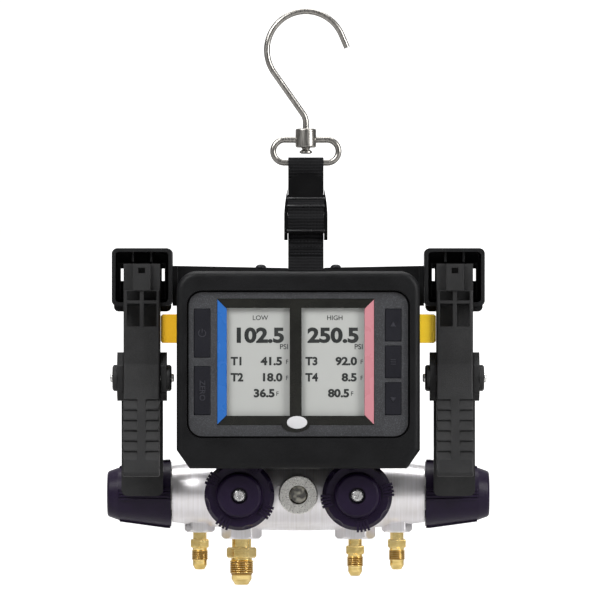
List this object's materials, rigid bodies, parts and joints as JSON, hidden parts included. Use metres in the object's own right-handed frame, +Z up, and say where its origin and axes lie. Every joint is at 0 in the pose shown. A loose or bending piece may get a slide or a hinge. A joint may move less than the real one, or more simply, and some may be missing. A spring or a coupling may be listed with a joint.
{
  "type": "refrigerant manifold gauge",
  "caption": "Digital refrigerant manifold gauge on a swivel hook and strap, with valve knobs, flare ports and docked pipe clamps.",
  "frame": {"origin": "the place on the inside of the hook's bow that rests on what it hangs from", "axes": "+X to the right seen from the front, +Y to the back, +Z up along the strap"},
  "size_m": [0.2488, 0.0835, 0.3753],
  "materials": {
    "wire_steel": "brushed",
    "webbing": "woven nylon",
    "buckle_plastic": "semi-gloss moulded",
    "bracket_plastic": "moulded, fine texture",
    "clamp_plastic": "moulded, fine texture",
    "case_plastic": "fine texture",
    "panel_plastic": "speckled dark grey",
    "key_rubber": "soft touch",
    "screen_black": "gloss",
    "display_grey": "satin display",
    "stripe_blue": "gloss",
    "stripe_red": "gloss",
    "board_green": "coated board",
    "cell_wrap": "wrapped cells",
    "plug_yellow": "moulded",
    "body_aluminium": "polished",
    "brass": "machined",
    "ring_steel": "turned",
    "sight_glass": "thick glass",
    "knob_plastic": "dark violet-blue, satin",
    "screw_steel": "plated",
    "pad_rubber": "soft"
  },
  "bodies": {
    "hook": {"hook": "wire_steel", "hook_button": "wire_steel"},
    "swivel": {"swivel_barrel": "wire_steel", "swivel_ring": "wire_steel"},
    "strap": {"upper_webbing": "webbing", "lower_webbing": "webbing", "strap_buckle": "buckle_plastic"},
    "unit": {"battery_cells": "cell_wrap", "battery_covers": "case_plastic", "bracket_screws": "screw_steel", "case_screws": "screw_steel", "circuit_board": "board_green", "clamp_springs": "screw_steel", "display_cell": "display_grey", "end_bonnets": "ring_steel", "front_bonnets": "ring_steel", "front_panel": "panel_plastic", "front_shell": "case_plastic", "hanger_bracket": "bracket_plastic", "high_side_stripe": "stripe_red", "left_dock": "bracket_plastic", "left_inner_flare": "brass", "left_outer_flare": "brass", "left_rear_lever": "clamp_plastic", "left_sensor_plug": "plug_yellow", "low_side_stripe": "stripe_blue", "manifold_body": "body_aluminium", "pivot_caps": "clamp_plastic", "pivot_pins": "screw_steel", "rear_jaw_pads": "pad_rubber", "rear_shell": "case_plastic", "right_dock": "bracket_plastic", "right_inner_flare": "brass", "right_outer_flare": "brass", "right_rear_lever": "clamp_plastic", "right_sensor_plug": "plug_yellow", "screen_frame": "screen_black", "sight_glass": "sight_glass", "sight_ring": "ring_steel"},
    "left_front_valve": {"left_front_knob": "knob_plastic", "left_front_stem": "screw_steel", "left_front_screw": "screw_steel"},
    "left_end_valve": {"left_end_knob": "knob_plastic", "left_end_stem": "screw_steel", "left_end_screw": "screw_steel"},
    "right_front_valve": {"right_front_knob": "knob_plastic", "right_front_stem": "screw_steel", "right_front_screw": "screw_steel"},
    "right_end_valve": {"right_end_knob": "knob_plastic", "right_end_stem": "screw_steel", "right_end_screw": "screw_steel"},
    "power_key": {"power_key": "key_rubber"},
    "zero_key": {"zero_key": "key_rubber"},
    "upper_key": {"upper_key": "key_rubber"},
    "middle_key": {"middle_key": "key_rubber"},
    "lower_key": {"lower_key": "key_rubber"},
    "left_clamp": {"left_front_lever": "clamp_plastic", "left_sensor_pad": "brass"},
    "right_clamp": {"right_front_lever": "clamp_plastic", "right_sensor_pad": "brass"}
  },
  "joints": [
    {"name": "hook_swivel", "type": "hinge", "parent": "hook", "child": "swivel", "pos_m": [0, 0, -0.0816], "axis": [0, 0, 1], "continuous": true},
    {"name": "strap_swing", "type": "hinge", "parent": "swivel", "child": "strap", "pos_m": [0, 0, -0.0965], "axis": [1, 0, 0], "range_deg": [-60, 60]},
    {"name": "unit_tilt", "type": "hinge", "parent": "strap", "child": "unit", "pos_m": [0, 0, -0.1675], "axis": [1, 0, 0], "range_deg": [-45, 45]},
    {"name": "left_front_valve_turn", "type": "hinge", "parent": "unit", "child": "left_front_valve", "pos_m": [-0.043, -0.02, -0.312], "axis": [0, -1, 0], "range_deg": [0, 360]},
    {"name": "left_end_valve_turn", "type": "hinge", "parent": "unit", "child": "left_end_valve", "pos_m": [-0.1049, 0.012, -0.312], "axis": [-1, 0, 0], "range_deg": [0, 360]},
    {"name": "right_front_valve_turn", "type": "hinge", "parent": "unit", "child": "right_front_valve", "pos_m": [0.0332, -0.02, -0.312], "axis": [0, -1, 0], "range_deg": [0, 360]},
    {"name": "right_end_valve_turn", "type": "hinge", "parent": "unit", "child": "right_end_valve", "pos_m": [0.0951, 0.012, -0.312], "axis": [1, 0, 0], "range_deg": [0, 360]},
    {"name": "power_key_press", "type": "slide", "parent": "unit", "child": "power_key", "axis": [0, 1, 0], "range_m": [0, 0.0012], "stiffness_N_per_m": 300},
    {"name": "zero_key_press", "type": "slide", "parent": "unit", "child": "zero_key", "axis": [0, 1, 0], "range_m": [0, 0.0012], "stiffness_N_per_m": 300},
    {"name": "upper_key_press", "type": "slide", "parent": "unit", "child": "upper_key", "axis": [0, 1, 0], "range_m": [0, 0.0012], "stiffness_N_per_m": 300},
    {"name": "middle_key_press", "type": "slide", "parent": "unit", "child": "middle_key", "axis": [0, 1, 0], "range_m": [0, 0.0012], "stiffness_N_per_m": 300},
    {"name": "lower_key_press", "type": "slide", "parent": "unit", "child": "lower_key", "axis": [0, 1, 0], "range_m": [0, 0.0012], "stiffness_N_per_m": 300},
    {"name": "left_clamp_squeeze", "type": "hinge", "parent": "unit", "child": "left_clamp", "pos_m": [-0.1059, -0.0215, -0.2361], "axis": [1, 0, 0], "range_deg": [0, 12], "stiffness_Nm_per_rad": 1.2, "springref_deg": -20.05},
    {"name": "right_clamp_squeeze", "type": "hinge", "parent": "unit", "child": "right_clamp", "pos_m": [0.0961, -0.0215, -0.2361], "axis": [1, 0, 0], "range_deg": [0, 12], "stiffness_Nm_per_rad": 1.2, "springref_deg": -20.05}
  ]
}
